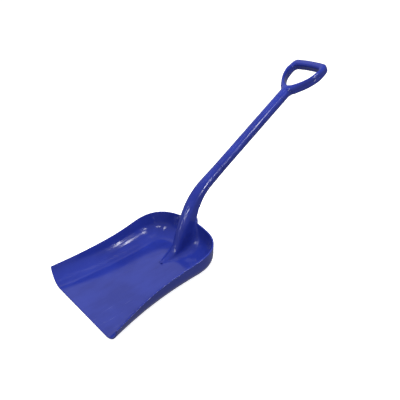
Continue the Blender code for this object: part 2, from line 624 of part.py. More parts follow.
def grip_skin(inset, side):
    """The grids of one skin of a grip shell: right half, left half and the stub's two halves."""
    outer, inner = grip_outlines()
    if inset:
        outer = offset_line(outer, inset)
        outer[:, 0] = np.maximum(outer[:, 0], 0.0)
        outer[-1, 0] = 0.0
        inner = offset_line(inner, -inset)
        inner[[0, -1], 0] = 0.0
    width = outer[0, 0]
    turn = np.linspace(0, math.pi / 2, YOKE_COLUMNS + 1)
    base = np.column_stack([width * np.sin(turn), np.zeros(YOKE_COLUMNS + 1)])
    outer = np.vstack([base[:-1], resample(outer, GRIP_COLUMNS - YOKE_COLUMNS + 1)])
    bend = np.linspace(0, 1, GRIP_COLUMNS + 1)
    shares = np.interp(bend, [0, YOKE_COLUMNS / GRIP_COLUMNS, 1], [0, YOKE_SHARE, 1])
    inner = resample(inner, 0, shares)
    across = (1 - np.cos(math.pi * np.linspace(0, 1, GRIP_ROWS + 1))) / 2
    across = across[None, :, None]
    plane = inner[:, None] * (1 - across) + outer[:, None] * across
    height = grip_height(plane, inset)
    height[:, 0] = 0.0
    height[YOKE_COLUMNS:, -1] = 0.0
    height[: YOKE_COLUMNS + 1, -1] = (SHAFT_RADIUS - inset) * np.cos(turn)
    ladder = np.concatenate([plane, height[..., None]], axis=-1)
    stub_l = np.linspace(0, -GRIP_STUB, 4)[None, :, None]
    foot = ladder[: YOKE_COLUMNS + 1, -1]
    stub = np.concatenate(
        [
            np.broadcast_to(foot[:, None, :1], (len(foot), 4, 1)),
            np.broadcast_to(stub_l, (len(foot), 4, 1)),
            np.broadcast_to(foot[:, None, 2:], (len(foot), 4, 1)),
        ],
        axis=-1,
    )
    stub[:, -1, 1] += GAP / 2
    grids = []
    for grid in (ladder, stub):
        right = place(grid[..., 0], SHAFT_END + grid[..., 1], side * (grid[..., 2] + GAP / 2))
        left = place(-grid[..., 0], SHAFT_END + grid[..., 1], side * (grid[..., 2] + GAP / 2))
        grids += [right, left[::-1]]
    return grids


def build_grip_shell(name, side, material):
    """One half of the hollow D-grip, split on the plane of the hand hole."""
    return shell(name, grip_skin(0.0, side), grip_skin(GRIP_WALL, side), material)


def main():
    clear_scene()
    gloss_blue = plastic("blue_gloss", (0.028, 0.050, 0.340), 0.28)
    matt_blue = plastic("blue_inner", (0.024, 0.043, 0.290), 0.45)
    build_blade(gloss_blue)
    build_neck_cover(gloss_blue)
    build_shaft_shell("shaft_front_shell", 1, False, gloss_blue)
    build_shaft_shell("shaft_rear_shell", -1, True, gloss_blue)
    start, end = SEAM - SPIGOT_LENGTH / 2, SEAM + SPIGOT_LENGTH / 2
    build_spigot("neck_spigot", start, SEAM, end, (BLADE_WALL, SHAFT_WALL), matt_blue)
    grip_seam = SHAFT_END - GRIP_STUB
    start, end = grip_seam - GRIP_SPIGOT_IN_SHAFT, grip_seam + GRIP_SPIGOT_IN_GRIP
    build_spigot("grip_spigot", start, grip_seam, end, (SHAFT_WALL, GRIP_WALL), matt_blue)
    build_grip_shell("grip_front_shell", 1, gloss_blue)
    build_grip_shell("grip_rear_shell", -1, gloss_blue)


main()
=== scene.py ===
import logging
import math
from dataclasses import dataclass
from enum import Enum

import bpy
import numpy as np
from mathutils import Matrix, Vector

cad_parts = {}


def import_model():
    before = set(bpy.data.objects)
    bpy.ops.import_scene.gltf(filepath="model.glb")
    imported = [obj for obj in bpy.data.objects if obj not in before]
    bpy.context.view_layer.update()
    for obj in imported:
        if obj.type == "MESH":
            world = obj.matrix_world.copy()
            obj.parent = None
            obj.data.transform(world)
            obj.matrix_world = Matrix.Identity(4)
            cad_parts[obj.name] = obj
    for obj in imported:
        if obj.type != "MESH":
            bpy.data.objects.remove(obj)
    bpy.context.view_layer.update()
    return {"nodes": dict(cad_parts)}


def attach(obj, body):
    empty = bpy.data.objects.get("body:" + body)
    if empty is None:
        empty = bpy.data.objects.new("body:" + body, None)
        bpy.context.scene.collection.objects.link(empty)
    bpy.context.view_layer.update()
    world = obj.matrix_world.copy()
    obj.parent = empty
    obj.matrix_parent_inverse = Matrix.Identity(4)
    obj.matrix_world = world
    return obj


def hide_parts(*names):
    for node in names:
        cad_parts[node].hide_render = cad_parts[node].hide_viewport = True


BODY = "root"
MILLIMETRE = 0.001
LEAST_LENGTH = 1e-9  # keeps a division by a length from zero
LEAST_NORM = 1e-12  # the same for a vector's norm
LOG = logging.getLogger("grain_scoop_shovel")


# ================================================================ curves and skins


def smooth(t: np.ndarray) -> np.ndarray:
    """Goes from 0 to 1 with level ends: three t squared less two t cubed."""
    t = np.clip(t, 0.0, 1.0)
    return t * t * (3 - 2 * t)


def through(u: np.ndarray, points: tuple) -> np.ndarray:
    """Reads a cubic Hermite curve that passes through its points, with slopes from their neighbours.

    Args:
        u: Where the curve is read.
        points: (u, value) pairs in rising order of u.

    Returns:
        The curve's value at each u.
    """
    knots, values = np.array(points).T
    slopes = np.gradient(values, knots)
    k = np.clip(np.searchsorted(knots, u, side="right") - 1, 0, len(knots) - 2)
    span = knots[k + 1] - knots[k]
    t = np.clip((u - knots[k]) / span, 0.0, 1.0)
    rise = values[k + 1] - values[k]
    start, end = slopes[k] * span, slopes[k + 1] * span
    return values[k] + t * start + t * t * (3 * rise - 2 * start - end) + t**3 * (start + end - 2 * rise)


def bezier(t: np.ndarray, points: list) -> np.ndarray:
    """Reads a cubic Bezier curve at each t, from four points or from four points for each t."""
    t = np.asarray(t)[:, None]
    p = np.array(points, float)
    return (1 - t) ** 3 * p[0] + 3 * (1 - t) ** 2 * t * p[1] + 3 * (1 - t) * t * t * p[2] + t**3 * p[3]


def reach_along(line: np.ndarray) -> np.ndarray:
    """Gives each point's distance from the first one, along the polyline."""
    return np.r_[0.0, np.cumsum(np.linalg.norm(np.diff(line, axis=0), axis=1))]


def at_shares(line: np.ndarray, shares: np.ndarray) -> np.ndarray:
    """Reads a polyline at shares of its own length.

    Args:
        line: Points of the line, one row each.
        shares: Shares of the line's length, from 0 to 1.

    Returns:
        One point for each share.
    """
    reach = reach_along(line)
    return np.stack([np.interp(shares * reach[-1], reach, column) for column in line.T], axis=1)


def put(name: str, data: bpy.types.ID) -> bpy.types.Object:
    """Puts a new object with this data into the scene, at the origin."""
    item = bpy.data.objects.new(name, data)
    bpy.context.scene.collection.objects.link(item)
    return item


@dataclass
class Skin:
    """An open surface of quads, in metres, from which a wall is moulded.

    Attributes:
        points: Vertices, one row each.
        faces: Four vertex numbers for each quad, in turn round its outer side.
        origin: For each vertex, the number of the grid point that it came from.
    """

    points: np.ndarray
    faces: np.ndarray
    origin: np.ndarray | None = None

    @classmethod
    def welded(cls, grids: list[np.ndarray]) -> "Skin":
        """Joins grids of points into one skin, with the points that coincide made one.

        Args:
            grids: Arrays of rows x columns x 3. Each has its outer side to the left of rows by columns.

        Returns:
            The skin.
        """
        points = np.concatenate([grid.reshape(-1, 3) for grid in grids])
        _, first, index = np.unique(
            np.round(points, 6) + 0.0, axis=0, return_index=True, return_inverse=True
        )
        index = index.reshape(-1)
        faces, offset = [], 0
        for grid in grids:
            rows, columns = grid.shape[:2]
            at = offset + np.arange(rows * columns).reshape(rows, columns)
            quads = np.stack([at[:-1, :-1], at[:-1, 1:], at[1:, 1:], at[1:, :-1]], axis=-1)
            faces.append(index[quads.reshape(-1, 4)])
            offset += rows * columns
        return cls(points[first], np.concatenate(faces), first)

    def normals(self) -> np.ndarray:
        """Gives each vertex the mean direction of its faces, weighted by area, from their diagonals."""
        corners = self.points[self.faces]
        across = np.cross(corners[:, 2] - corners[:, 0], corners[:, 3] - corners[:, 1])
        total = np.zeros_like(self.points)
        for corner in range(4):
            np.add.at(total, self.faces[:, corner], across)
        return total / np.maximum(np.linalg.norm(total, axis=1, keepdims=True), LEAST_NORM)

    def rim(self) -> tuple[np.ndarray, np.ndarray]:
        """Finds the open edges and, at each of their vertices, the direction that leads off the skin.

        Returns:
            The open edges as vertex pairs, and a direction for every vertex, zero inside the skin.
        """
        edges = np.stack([self.faces, np.roll(self.faces, -1, axis=1)], axis=-1).reshape(-1, 2)
        edges = edges[edges[:, 0] != edges[:, 1]]
        count = len(self.points)
        forward = edges[:, 0] * count + edges[:, 1]
        backward = edges[:, 1] * count + edges[:, 0]
        edges = edges[~np.isin(forward, backward)]
        normals = self.normals()
        along = self.points[edges[:, 1]] - self.points[edges[:, 0]]
        off = np.cross(along, normals[edges[:, 0]] + normals[edges[:, 1]])
        off /= np.maximum(np.linalg.norm(off, axis=1, keepdims=True), LEAST_NORM)
        total = np.zeros_like(self.points)
        np.add.at(total, edges[:, 0], off)
        np.add.at(total, edges[:, 1], off)
        total -= normals * (total * normals).sum(axis=1, keepdims=True)
        return edges, total / np.maximum(np.linalg.norm(total, axis=1, keepdims=True), LEAST_NORM)

    def moulded(self, wall: np.ndarray | float, crown: np.ndarray | float, steps: int = 8) -> "Skin":
        """Gives the skin a wall with crowned edges.

        The inner skin is the outer one moved back along its normals. An open edge is
        closed by half an ellipse, as high as the crown and as wide as the wall, and the
        skins stop short by the crown, so that the edge ends where the skin did.

        Args:
            wall: Thickness of the wall at each vertex, or at all.
            crown: Height of the rounding at each vertex, or at all.
            steps: Faces across an edge.

        Returns:
            The closed body.
        """
        edges, off = self.rim()
        normals = self.normals()
        crown = np.broadcast_to(np.asarray(crown, float), (len(self.points),))[:, None]
        wall = np.broadcast_to(np.asarray(wall, float), (len(self.points),))[:, None]
        outer = self.points - off * crown
        inner = outer - normals * wall
        members = np.unique(edges)
        turn = np.linspace(0, math.pi, steps + 1)[1:-1, None, None]
        half = (normals * wall)[members][None] / 2
        past = (off * crown)[members][None]
        rounds = outer[members][None] - half * (1 - np.cos(turn)) + past * np.sin(turn)
        count, ring = len(outer), len(members)
        place = np.searchsorted(members, edges)
        layers = [edges] + [2 * count + k * ring + place for k in range(steps - 1)] + [edges + count]
        rims = [
            np.stack([low[:, 1], low[:, 0], high[:, 0], high[:, 1]], axis=1)
            for low, high in zip(layers, layers[1:])
        ]
        faces = np.concatenate([self.faces, self.faces[:, ::-1] + count, *rims])
        return Skin(np.concatenate([outer, inner, rounds.reshape(-1, 3)]), faces)

    def piece(self, name: str, sharp: float = 50.0) -> bpy.types.Object:
        """Puts the skin into the scene as a smooth-shaded object at the origin.

        Args:
            name: Name of the object and its mesh.
            sharp: Angle in degrees from which an edge is shaded sharp.

        Returns:
            The object.
        """
        differs = self.faces != np.roll(self.faces, -1, axis=1)
        corners = differs.sum(axis=1)
        quads = self.faces[corners == 4].tolist()
        collapsed = corners == 3
        triangles = self.faces[collapsed][differs[collapsed]].reshape(-1, 3).tolist()
        mesh = bpy.data.meshes.new(name)
        mesh.from_pydata(self.points.tolist(), [], quads + triangles)
        mesh.update(calc_edges=True)
        mesh.shade_smooth()
        mesh.set_sharp_from_angle(angle=math.radians(sharp))
        return put(name, mesh)


def mirrored(grids: list[np.ndarray]) -> list[np.ndarray]:
    """Adds each grid's mirror image in the plane x = 0, its rows reversed to keep its outer side."""
    return grids + [grid[::-1] * np.array([-1.0, 1.0, 1.0]) for grid in grids]


# ================================================================ finishes


@dataclass(frozen=True)
class MouldedPlastic:
    """One-colour polypropylene as it comes from the mould, then a little used.

    Attributes:
        name: Name of the material.
        colour: Linear colour of the plastic.
        deep: Colour where the pigment lies densest.
        scuffed: Colour where a fine scuff has turned the surface pale.
        roughness: Roughness of clean plastic.
        ripple: Height of the long waves that a thick moulding cools with, in metres.
        peel: Height of the fine orange peel, in metres.
        scuffs: Strength of the scuffs, from 0 to 1.
        everywhere: Share of the scuffs that reaches the whole shovel.
        polish: How much smoother than the roughness the clearest patches are.
        blotches: How much rougher than those the dullest patches are.
        scuff_roughness: How much rougher a full scuff is.
        edge_y: The cutting edge's y, where the scuffs are fullest.
        shoulder_y: Where the scuffs have faded out towards the back.
    """

    name: str
    colour: tuple[float, float, float]
    deep: tuple[float, float, float]
    scuffed: tuple[float, float, float]
    roughness: float = 0.16
    ripple: float = 0.00022
    peel: float = 0.000018
    scuffs: float = 0.5
    everywhere: float = 0.2
    polish: float = 0.04
    blotches: float = 0.09
    scuff_roughness: float = 0.25
    edge_y: float = -0.15
    shoulder_y: float = 0.05

    def material(self) -> bpy.types.Material:
        """Builds the node material, all of it on Object coordinates.

        Returns:
            The material.
        """
        made = bpy.data.materials.new(self.name)
        made.use_nodes = True
        tree = made.node_tree
        shader = tree.nodes["Principled BSDF"]
        nodes = NodeBench(tree)
        place = nodes.add("ShaderNodeTexCoord").outputs["Object"]

        cloud = nodes.noise(place, scale=9.0, detail=4.0)
        flow = nodes.noise(nodes.stretched(place, (60.0, 14.0, 60.0)), scale=1.0, detail=3.0)
        streaks = nodes.ramp(flow, 0.45, 0.75, top=0.45)
        density = nodes.maths("ADD", nodes.ramp(cloud, 0.35, 0.70), streaks)
        pigment = nodes.blend(density, self.colour, self.deep)

        lines = nodes.noise(nodes.stretched(place, (520.0, 16.0, 160.0)), scale=1.0, detail=2.0)
        patches = nodes.noise(place, scale=22.0, detail=3.0)
        fine = nodes.maths("MULTIPLY", nodes.ramp(lines, 0.63, 0.72), nodes.ramp(patches, 0.45, 0.65))
        ahead = nodes.reach(place, "Y", self.shoulder_y, self.edge_y)
        spread = nodes.maths("ADD", nodes.scaled(ahead, 1 - self.everywhere), self.everywhere)
        worn = nodes.scaled(nodes.maths("MULTIPLY", fine, spread), self.scuffs)
        nodes.link(nodes.blend(worn, pigment, self.scuffed), shader.inputs["Base Color"])

        blotch = nodes.ramp(nodes.noise(place, scale=34.0, detail=5.0), 0.3, 0.75, top=self.blotches)
        clean = nodes.maths("ADD", blotch, self.roughness - self.polish)
        dull = nodes.maths("ADD", clean, nodes.scaled(worn, self.scuff_roughness))
        nodes.link(dull, shader.inputs["Roughness"])

        waves = nodes.noise(place, scale=26.0, detail=1.5)
        grain = nodes.noise(place, scale=420.0, detail=2.0)
        normal = nodes.bump(waves, self.ripple, None)
        normal = nodes.bump(grain, self.peel, normal)
        normal = nodes.bump(nodes.scaled(worn, -1.0), self.peel, normal)
        nodes.link(normal, shader.inputs["Normal"])
        shader.inputs["Specular IOR Level"].default_value = 0.5
        shader.inputs["IOR"].default_value = 1.49
        return made


@dataclass
class NodeBench:
    """Adds shader nodes to one material's tree, with the few kinds that the finishes use."""

    tree: bpy.types.NodeTree

    def add(self, kind: str) -> bpy.types.Node:
        """Adds a node of this kind."""
        return self.tree.nodes.new(kind)

    def link(self, source: object, socket: bpy.types.NodeSocket) -> None:
        """Links an output to a socket, or sets the socket where the source is a plain value."""
        if isinstance(source, bpy.types.NodeSocket):
            self.tree.links.new(source, socket)
        elif isinstance(source, tuple):
            socket.default_value = (*source, 1.0)
        else:
            socket.default_value = source

    def stretched(
        self, place: bpy.types.NodeSocket, scale: tuple[float, float, float]
    ) -> bpy.types.NodeSocket:
        """Multiplies the coordinates by a scale along each axis."""
        node = self.add("ShaderNodeMapping")
        self.link(place, node.inputs["Vector"])
        node.inputs["Scale"].default_value = scale
        return node.outputs["Vector"]

    def noise(self, place: bpy.types.NodeSocket, scale: float, detail: float) -> bpy.types.NodeSocket:
        """Reads noise at the coordinates: scale is in waves per metre."""
        node = self.add("ShaderNodeTexNoise")
        self.link(place, node.inputs["Vector"])
        node.inputs["Scale"].default_value = scale
        node.inputs["Detail"].default_value = detail
        return node.outputs["Fac"]

    def ramp(
        self, value: bpy.types.NodeSocket, low: float, high: float, top: float = 1.0
    ) -> bpy.types.NodeSocket:
        """Maps low..high to 0..top with level ends, and holds it outside."""
        node = self.add("ShaderNodeMapRange")
        node.interpolation_type = "SMOOTHSTEP"
        self.link(value, node.inputs["Value"])
        node.inputs["From Min"].default_value = low
        node.inputs["From Max"].default_value = high
        node.inputs["To Max"].default_value = top
        return node.outputs["Result"]

    def reach(
        self, place: bpy.types.NodeSocket, axis: str, none: float, full: float
    ) -> bpy.types.NodeSocket:
        """Goes from 0 to 1 along an axis, between two places on it."""
        node = self.add("ShaderNodeSeparateXYZ")
        self.link(place, node.inputs["Vector"])
        return self.ramp(node.outputs[axis], none, full)

    def maths(self, operation: str, first: object, second: object) -> bpy.types.NodeSocket:
        """Joins two values by a Math node."""
        node = self.add("ShaderNodeMath")
        node.operation = operation
        self.link(first, node.inputs[0])
        self.link(second, node.inputs[1])
        return node.outputs["Value"]

    def scaled(self, value: bpy.types.NodeSocket, factor: float) -> bpy.types.NodeSocket:
        """Multiplies a value by a fixed factor."""
        return self.maths("MULTIPLY", value, factor)

    def blend(self, share: bpy.types.NodeSocket, first: object, second: object) -> bpy.types.NodeSocket:
        """Mixes two colours by a share."""
        node = self.add("ShaderNodeMix")
        node.data_type = "RGBA"
        self.link(share, node.inputs[0])
        self.link(first, node.inputs[6])
        self.link(second, node.inputs[7])
        return node.outputs[2]

    def bump(
        self, height: bpy.types.NodeSocket, distance: float, normal: bpy.types.NodeSocket | None
    ) -> bpy.types.NodeSocket:
        """Turns a height from 0 to 1 into a normal, on top of another bump where there is one."""
        node = self.add("ShaderNodeBump")
        self.link(height, node.inputs["Height"])
        node.inputs["Distance"].default_value = distance
        if normal is not None:
            self.link(normal, node.inputs["Normal"])
        return node.outputs["Normal"]


BLUE_GLOSS = MouldedPlastic(
    name="blue_gloss_plastic",
    colour=(0.020, 0.036, 0.300),
    deep=(0.015, 0.027, 0.245),
    scuffed=(0.12, 0.15, 0.42),
)
BLUE_INNER = MouldedPlastic(
    name="blue_inner_plastic",
    colour=(0.021, 0.038, 0.260),
    deep=(0.016, 0.028, 0.205),
    scuffed=(0.10, 0.13, 0.36),
    roughness=0.45,
)


def dress(item: bpy.types.Object, material: bpy.types.Material, slot: str, *nodes: str) -> bpy.types.Object:
    """Gives a new piece its material and body, and lets it stand for its frame nodes.

    Args:
        item: The piece.
        material: Its finish.
        slot: Not used.
        nodes: Frame nodes that the piece replaces.

    Returns:
        The piece.
    """
    item.data.materials.append(material)
    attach(item, BODY)
    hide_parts(*nodes)
    LOG.info("%s: %d faces, stands for %s", item.name, len(item.data.polygons), ", ".join(nodes))
    return item


# ================================================================ handle


class Half(Enum):
    """Which side of the handle a shell is on."""

    FRONT = 1
    REAR = -1


@dataclass
class HandleLine:
    """Centre line of the neck, shaft and grip in the plane x = 0, measured by arc length.

    It starts where the neck leaves the blade's lip: a straight run, an arc, the long
    straight shaft and a slight bend into the grip.
    """

    neck_y: float = 0.2136
    neck_z: float = 0.0930
    neck_angle: float = math.radians(53.1)
    neck_straight: float = 0.0189
    bend_radius: float = 0.1905
    shaft_angle: float = math.radians(24.1)
    shaft_length: float = 0.3660
    grip_angle: float = math.radians(20.3)
    grip_bend: float = 0.030
    seam_after_bend: float = 0.0600
    neck_radius: float = 0.0195
    shaft_radius: float = 0.0159
    taper_length: float = 0.199
    grip_length: float = 0.1264
    grip_stub: float = 0.030
    gap: float = 0.0003
    before: float = 0.20
    after: float = 0.05
    table_rows: int = 8001

    def __post_init__(self) -> None:
        """Works out the dense table of arc length, y, z and angle, from before the neck to past the grip."""
        s = np.linspace(-self.before, self.shaft_end + self.grip_length + self.after, self.table_rows)
        knots = [self.neck_straight, self.shaft_start, self.shaft_end, self.shaft_end + self.grip_bend]
        angle = np.interp(s, knots, [self.neck_angle, self.shaft_angle, self.shaft_angle, self.grip_angle])
        middle, step = (angle[1:] + angle[:-1]) / 2, s[1] - s[0]
        y = np.concatenate([[0.0], np.cumsum(np.cos(middle) * step)])
        z = np.concatenate([[0.0], np.cumsum(np.sin(middle) * step)])
        y, z = y - np.interp(0.0, s, y) + self.neck_y, z - np.interp(0.0, s, z) + self.neck_z
        self.table = (s, y, z, angle)

    @property
    def shaft_start(self) -> float:
        """Where the bend ends."""
        return self.neck_straight + self.bend_radius * (self.neck_angle - self.shaft_angle)

    @property
    def seam(self) -> float:
        """Where the moulded neck ends and the shaft's tube begins."""
        return self.shaft_start + self.seam_after_bend

    @property
    def shaft_end(self) -> float:
        """Where the straight run ends and the grip's bend begins."""
        return self.shaft_start + self.shaft_length

    def place(self, x: np.ndarray, s: np.ndarray, h: np.ndarray) -> np.ndarray:
        """Carries a profile along the line.

        Args:
            x: Offset to the right.
            s: Arc length along the line.
            h: Height above the line, square to it.

        Returns:
            World points, with x, s and h broadcast together.
        """
        x, s, h = np.broadcast_arrays(x, s, h)
        y, z, angle = (np.interp(s, self.table[0], column) for column in self.table[1:])
        return np.stack([x, y - h * np.sin(angle), z + h * np.cos(angle)], axis=-1)

    def radius(self, s: np.ndarray) -> np.ndarray:
        """Gives the handle's radius, which tapers smoothly from the neck to the shaft."""
        swell = self.neck_radius - self.shaft_radius
        return self.shaft_radius + swell * (1 - smooth(s / self.taper_length))


# ================================================================ blade


@dataclass
class Pan:
    """The scoop's pan: a flat floor, a fillet all round and a leaning wall that rises to the back.

    Lengths run from the cutting edge, and heights from the floor's upper face.
    """

    edge_half_width: float = 0.171
    waist_half_width: float = 0.1444
    rear_half_width: float = 0.1397
    length: float = 0.366
    back_depth: float = 0.084
    back_squareness: float = 2.81
    wall_heights: tuple = ((0.0, 0.0426), (0.33, 0.0522), (0.66, 0.0603), (0.86, 0.0674), (1.0, 0.0712))
    wall_leans: tuple = ((0.0, 0.0138), (0.5, 0.0107), (0.85, 0.0146), (1.0, 0.0118))
    back_rise: float = 0.0063
    back_rise_width: float = 0.042
    back_rise_start: float = 0.80
    back_rise_run: float = 0.15
    edge_rake: float = 0.0105
    rake_length: float = 0.195
    front_fillet: float = 0.0364
    back_fillet: float = 0.040
    edge_turn: float = 0.060
    wall: float = 0.0040
    origin_from_edge: float = 0.150
    round_pull: float = 0.55
    fillet_limit: float = 0.95
    normal_step: float = 0.004
    round_step: float = 0.080
    columns: int = 150
    floor_rows: int = 26
    fillet_rows: int = 18
    wall_rows: int = 26

    def __post_init__(self) -> None:
        """Works out the corner line and the rows of the wall."""
        self.corner = self.corner_line()
        fillet = np.linspace(0, 0.5, self.fillet_rows + 1)
        self.wall_v = np.r_[fillet, 0.5 + 0.5 * np.linspace(0, 1, self.wall_rows + 1)[1:]]

    def at_origin(self, points: np.ndarray) -> np.ndarray:
        """Moves points from the cutting edge and the floor's upper face to the part's origin."""
        return points + np.array([0.0, -self.origin_from_edge, self.wall])

    def corner_line(self) -> np.ndarray:
        """Draws the right half of the plan line where floor and wall would meet, front to back.

        The side is a parabola through the waist, and the back is a superellipse.

        Returns:
            Points (x, y) at even spacing.
        """
        shoulder = self.length - self.back_depth
        u = np.linspace(0, 1, 300, endpoint=False)
        control = 2 * self.waist_half_width - (self.edge_half_width + self.rear_half_width) / 2
        side = self.edge_half_width * (1 - u) ** 2 + 2 * control * u * (1 - u) + self.rear_half_width * u * u
        turn = np.linspace(0, math.pi / 2, 2500)
        power = 2 / self.back_squareness
        back_x = self.rear_half_width * np.maximum(np.cos(turn), 0) ** power
        back_y = shoulder + self.back_depth * np.sin(turn) ** power
        line = np.stack([np.r_[side, back_x], np.r_[u * shoulder, back_y]], axis=1)
        line[-1] = 0.0, self.length
        return at_shares(line, np.linspace(0, 1, 1601))

    def outward(self, q: np.ndarray, step: float) -> np.ndarray:
        """Gives the corner line's outward direction from its chord, which turns square to the cutting edge.

        Args:
            q: Shares of the half outline.
            step: Share of the half outline that the chord reaches each way, on into the other half.

        Returns:
            Unit directions (x, y).
        """
        corner = at_shares(self.corner, q)
        ahead = at_shares(self.corner, 1 - np.abs(1 - q - step))
        ahead[:, 0] *= np.where(q + step > 1, -1.0, 1.0)
        chord = ahead - at_shares(self.corner, np.maximum(q - step, 0))
        turned = smooth(corner[:, 1] / self.edge_turn)
        normal = np.stack([chord[:, 1], -chord[:, 0] * turned], axis=1)
        return normal / np.linalg.norm(normal, axis=1)[:, None]

    def frame(self, q: np.ndarray) -> tuple[np.ndarray, np.ndarray, np.ndarray, np.ndarray]:
        """Finds what the wall's section hangs on at shares of the half outline.

        Args:
            q: Shares of the half outline, 0 at the cutting edge and 1 at the middle of the back.

        Returns:
            The corner point, the fillet's start, the lip and the fillet's tangent length.
        """
        corner = at_shares(self.corner, q)
        normal, inward = self.outward(q, self.normal_step), -self.outward(q, self.round_step)
        share = corner[:, 1] / self.length
        crest = np.exp(-((corner[:, 0] / self.back_rise_width) ** 2))
        crest *= smooth((share - self.back_rise_start) / self.back_rise_run)
        lip = corner + normal * through(share, self.wall_leans)[:, None]
        lip[:, 1] += self.edge_rake * (1 - smooth(corner[:, 1] / self.rake_length))
        lip = np.column_stack([lip, through(share, self.wall_heights) + self.back_rise * crest])
        fillet = self.front_fillet + (self.back_fillet - self.front_fillet) * smooth(share)
        start = np.column_stack([corner + inward * fillet[:, None], np.zeros(len(q))])
        return np.column_stack([corner, np.zeros(len(q))]), start, lip, fillet

    def side(self, q: np.ndarray, v: np.ndarray) -> np.ndarray:
        """Gives points of the fillet, a cubic curve, and of the straight wall above it.

        Args:
            q: Shares of the half outline.
            v: 0 at the fillet's start, 0.5 at its end and 1 at the lip.

        Returns:
            Points, with q and v broadcast together.
        """
        q, v = np.broadcast_arrays(q, v)
        corner, start, lip, fillet = self.frame(q.ravel())
        up = lip - corner
        end = corner + up * np.clip(fillet / np.linalg.norm(up, axis=1), 0, self.fillet_limit)[:, None]
        near = start + (corner - start) * self.round_pull
        far = end + (corner - end) * self.round_pull
        curve = bezier(np.clip(v.ravel() * 2, 0, 1), [start, near, far, end])
        points = curve + (lip - end) * np.clip(v.ravel() * 2 - 1, 0, 1)[:, None]
        return points.reshape(q.shape + (3,))

    def q_at_width(self, x: float, v: float) -> float:
        """Finds the share of the outline whose point at v has this x, near the middle of the back."""
        q = np.linspace(0.7, 1.0, 601)
        return np.interp(-x, -self.side(q, np.full(len(q), v))[:, 0], q)

    def grid(self, feet: np.ndarray, q_foot: np.ndarray) -> np.ndarray:
        """Lays the right half of the pan round the ridge.

        Columns in front start on the centre line. Those behind fan out from the ridge's
        tip, and the last one follows the ridge's foot.

        Args:
            feet: The ridge's foot, from its tip to the lip.
            q_foot: Shares of the outline at the foot.

        Returns:
            Points by column round the outline and row from the floor to the lip.
        """
        rows = self.floor_rows
        q = q_foot[-1] * np.linspace(0, 1, self.columns + 1)
        start = self.at_origin(self.side(q, np.zeros(len(q))))
        q_turn = np.interp(feet[0, 1], start[:, 1], q)
        pull = np.clip((q - q_turn) / (q_foot[-1] - q_turn), 0, 1) ** 2
        q_wall = q[:, None] + pull[:, None] * (q_foot[rows:] - q_foot[-1])[None, :]
        wall = self.at_origin(self.side(q_wall, self.wall_v[None, :]))
        inner = wall[:, 0].copy()
        inner[:, 0] = 0.0
        inner[:, 1] = np.minimum(inner[:, 1], feet[0, 1])
        share = np.linspace(0, 1, rows + 1)[:-1]
        floor = inner[:, None] + (wall[:, 0] - inner)[:, None] * share[None, :, None]
        floor += pull[:, None, None] * (feet[:rows] - floor[-1])[None]
        return np.concatenate([floor, wall], axis=1)


